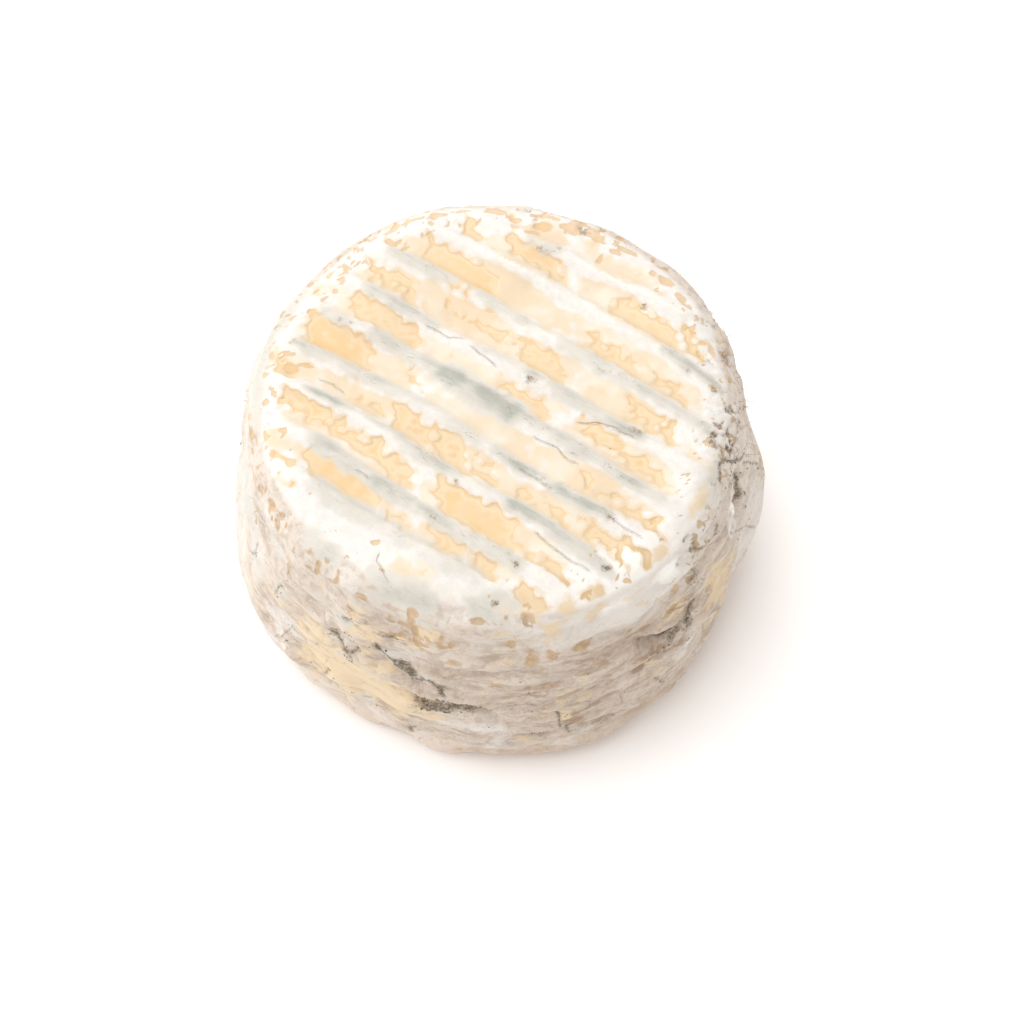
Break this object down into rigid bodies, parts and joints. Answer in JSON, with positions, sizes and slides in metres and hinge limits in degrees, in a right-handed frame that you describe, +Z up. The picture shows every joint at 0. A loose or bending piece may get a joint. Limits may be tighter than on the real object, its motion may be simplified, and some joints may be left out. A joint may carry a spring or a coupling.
{
  "type": "cheese wheel",
  "caption": "Small drum-shaped soft-ripened cheese wheel with a pale mould rind, rack ridges across its top and a flat underside to rest on.",
  "frame": {"origin": "centre of the flat underside, in the middle of the wheel's outline", "axes": "+Z up along the wheel's axis, towards the ridged top; the ridges run 34 degrees clockwise from +X seen from above"},
  "size_m": [0.0934, 0.0938, 0.0518],
  "materials": {
    "rind": "dry white mould bloom with grey-blue ridges, cream film and small windows of bare waxy paste"
  },
  "bodies": {
    "root": {"cheese_wheel": "rind"}
  },
  "joints": []
}
